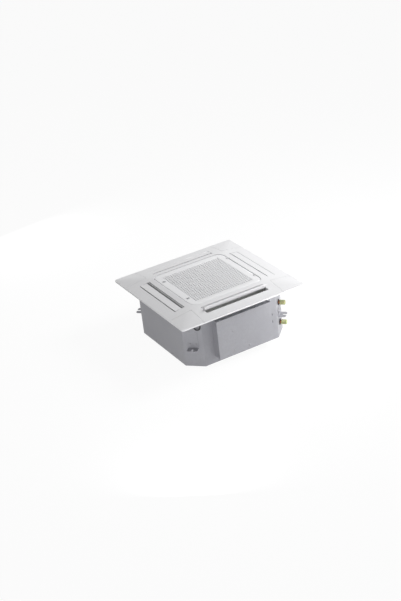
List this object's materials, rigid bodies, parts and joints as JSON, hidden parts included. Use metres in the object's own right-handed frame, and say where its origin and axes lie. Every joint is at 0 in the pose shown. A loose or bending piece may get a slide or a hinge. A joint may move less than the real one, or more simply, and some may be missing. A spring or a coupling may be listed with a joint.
{
  "type": "cassette fan coil unit",
  "caption": "Ceiling cassette fan coil unit lying on its top plate: white square panel with hinged grille and air flaps on an octagonal steel casing.",
  "frame": {"origin": "centre of the top plate's outer face, on which the unit stands in the picture", "axes": "+Z from the top plate towards the ceiling panel (downwards once hung), X and Y along the panel's edges, control box on -Y, water pipes at +X -Y"},
  "size_m": [0.7, 0.7, 0.3112],
  "materials": {
    "galvanised_steel": "zinc-coated sheet with a faint spangle",
    "zinc_screw": "bright zinc plate",
    "bright_steel": "ground steel",
    "liner_foam": "closed-cell polyethylene foam",
    "seal_foam": "soft foam strip",
    "circuit_board": "glass-fibre board",
    "pale_plastic": "moulded nylon",
    "grey_plastic": "moulded polypropylene",
    "dark_plastic": "moulded plastic",
    "black_rubber": "moulded rubber",
    "black_cable": "flexible sheath",
    "aluminium_fin": "thin fins",
    "copper": "drawn copper tube",
    "brass": "turned brass",
    "cap_plastic": "soft yellow-green polyethylene",
    "motor_shell": "dark enamel",
    "moulded_foam": "expanded polystyrene",
    "white_abs": "satin white ABS",
    "filter_cloth": "fine synthetic mesh"
  },
  "bodies": {
    "casing": {"casing_top_plate": "galvanised_steel", "casing_wall": "galvanised_steel", "casing_screws": "zinc_screw", "insulation_liner": "liner_foam", "hanger_screws": "zinc_screw", "control_box": "galvanised_steel", "control_box_cover": "galvanised_steel", "cover_screws": "zinc_screw", "control_board": "circuit_board", "terminal_block": "pale_plastic", "run_capacitor": "pale_plastic", "cable_glands": "dark_plastic", "cable_bush": "black_rubber", "coil_fins": "aluminium_fin", "coil_end_plates": "galvanised_steel", "return_bends": "copper", "supply_manifold": "copper", "return_manifold": "copper", "air_vents": "brass", "pipe_grommets": "black_rubber", "pipe_caps": "cap_plastic", "motor_dampers": "black_rubber", "fan_motor": "motor_shell", "motor_screws": "zinc_screw", "inlet_ring": "dark_plastic", "drain_pan": "moulded_foam", "pump_bracket": "galvanised_steel", "condensate_pump": "dark_plastic", "drain_spigot": "pale_plastic", "float_switch": "pale_plastic", "panel_seal": "seal_foam", "panel_frame": "white_abs", "panel_screws": "zinc_screw", "panel_lead": "black_cable", "lead_grommet": "black_rubber", "hanger_bracket_back_right": "galvanised_steel", "corner_cover_back_right": "white_abs", "hanger_bracket_back_left": "galvanised_steel", "corner_cover_back_left": "white_abs", "hanger_bracket_front_left": "galvanised_steel", "corner_cover_front_left": "white_abs", "hanger_bracket_front_right": "galvanised_steel", "corner_cover_front_right": "white_abs"},
    "fan": {"fan_shaft": "bright_steel", "fan_wheel": "dark_plastic", "fan_nut": "zinc_screw"},
    "grille": {"intake_grille": "white_abs", "air_filter_frame": "grey_plastic", "air_filter_mesh": "filter_cloth"},
    "latch_front": {"grille_latch_front": "grey_plastic"},
    "latch_back": {"grille_latch_back": "grey_plastic"},
    "float": {"switch_float": "pale_plastic"},
    "flap_front": {"air_flap_front": "white_abs"},
    "vane_front": {"air_vane_front": "white_abs"},
    "flap_right": {"air_flap_right": "white_abs"},
    "vane_right": {"air_vane_right": "white_abs"},
    "flap_back": {"air_flap_back": "white_abs"},
    "vane_back": {"air_vane_back": "white_abs"},
    "flap_left": {"air_flap_left": "white_abs"},
    "vane_left": {"air_vane_left": "white_abs"}
  },
  "joints": [
    {"name": "fan_spin", "type": "hinge", "parent": "casing", "child": "fan", "pos_m": [0, 0, 0.1], "axis": [0, 0, 1], "continuous": true},
    {"name": "grille_swing", "type": "hinge", "parent": "casing", "child": "grille", "pos_m": [0.201, 0, 0.295], "axis": [0, 1, 0], "range_deg": [0, 88]},
    {"name": "latch_front_slide", "type": "slide", "parent": "grille", "child": "latch_front", "axis": [1, 0, 0], "range_m": [-0.008, 0]},
    {"name": "latch_back_slide", "type": "slide", "parent": "grille", "child": "latch_back", "axis": [1, 0, 0], "range_m": [-0.008, 0]},
    {"name": "float_lift", "type": "slide", "parent": "casing", "child": "float", "axis": [0, 0, 1], "range_m": [0, 0.01]},
    {"name": "flap_front_tilt", "type": "hinge", "parent": "casing", "child": "flap_front", "pos_m": [0, -0.25953, 0.28611], "axis": [-1, 0, 0], "range_deg": [-60, 15]},
    {"name": "flap_right_tilt", "type": "hinge", "parent": "casing", "child": "flap_right", "pos_m": [0.25953, 0, 0.28611], "axis": [0, -1, 0], "range_deg": [0, 75]},
    {"name": "flap_back_tilt", "type": "hinge", "parent": "casing", "child": "flap_back", "pos_m": [0, 0.25953, 0.28611], "axis": [1, 0, 0], "range_deg": [0, 75]},
    {"name": "flap_left_tilt", "type": "hinge", "parent": "casing", "child": "flap_left", "pos_m": [-0.25953, 0, 0.28611], "axis": [0, 1, 0], "range_deg": [-6, 69]},
    {"name": "vane_front_tilt", "type": "hinge", "parent": "casing", "child": "vane_front", "pos_m": [0, -0.2426, 0.28958], "axis": [-1, 0, 0], "range_deg": [-90, 0]},
    {"name": "vane_right_tilt", "type": "hinge", "parent": "casing", "child": "vane_right", "pos_m": [0.2426, 0, 0.28958], "axis": [0, -1, 0], "range_deg": [0, 90]},
    {"name": "vane_back_tilt", "type": "hinge", "parent": "casing", "child": "vane_back", "pos_m": [0, 0.2426, 0.28958], "axis": [1, 0, 0], "range_deg": [0, 90]},
    {"name": "vane_left_tilt", "type": "hinge", "parent": "casing", "child": "vane_left", "pos_m": [-0.2426, 0, 0.28958], "axis": [0, 1, 0], "range_deg": [-90, 0]}
  ]
}
